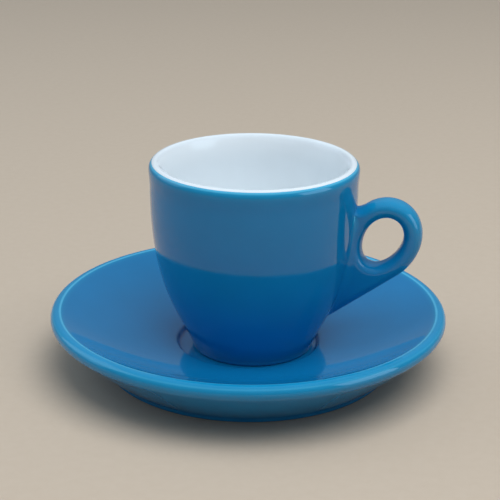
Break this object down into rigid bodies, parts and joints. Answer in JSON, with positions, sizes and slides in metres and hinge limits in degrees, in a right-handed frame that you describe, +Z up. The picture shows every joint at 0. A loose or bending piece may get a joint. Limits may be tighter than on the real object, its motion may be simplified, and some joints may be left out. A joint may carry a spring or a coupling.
{
  "type": "espresso cup with saucer",
  "caption": "Small round-bellied cup with a looped ear handle, glazed outside and white inside, standing in the well of its dished saucer.",
  "frame": {"origin": "centre of the saucer's foot ring, on the surface that the saucer stands on", "axes": "+Z up along the saucer's axis, +X towards the cup's handle"},
  "size_m": [0.118, 0.118, 0.0632],
  "materials": {
    "blue_glaze": "glossy azure glaze over fired stoneware",
    "white_glaze": "glossy white glaze"
  },
  "bodies": {
    "saucer": {"saucer": "blue_glaze"},
    "cup": {"cup_body": "blue_glaze", "cup_lining": "white_glaze", "cup_handle": "blue_glaze"}
  },
  "joints": [
    {"name": "cup_lift", "type": "slide", "parent": "saucer", "child": "cup", "axis": [0, 0, 1], "range_m": [0, 0.08]}
  ]
}
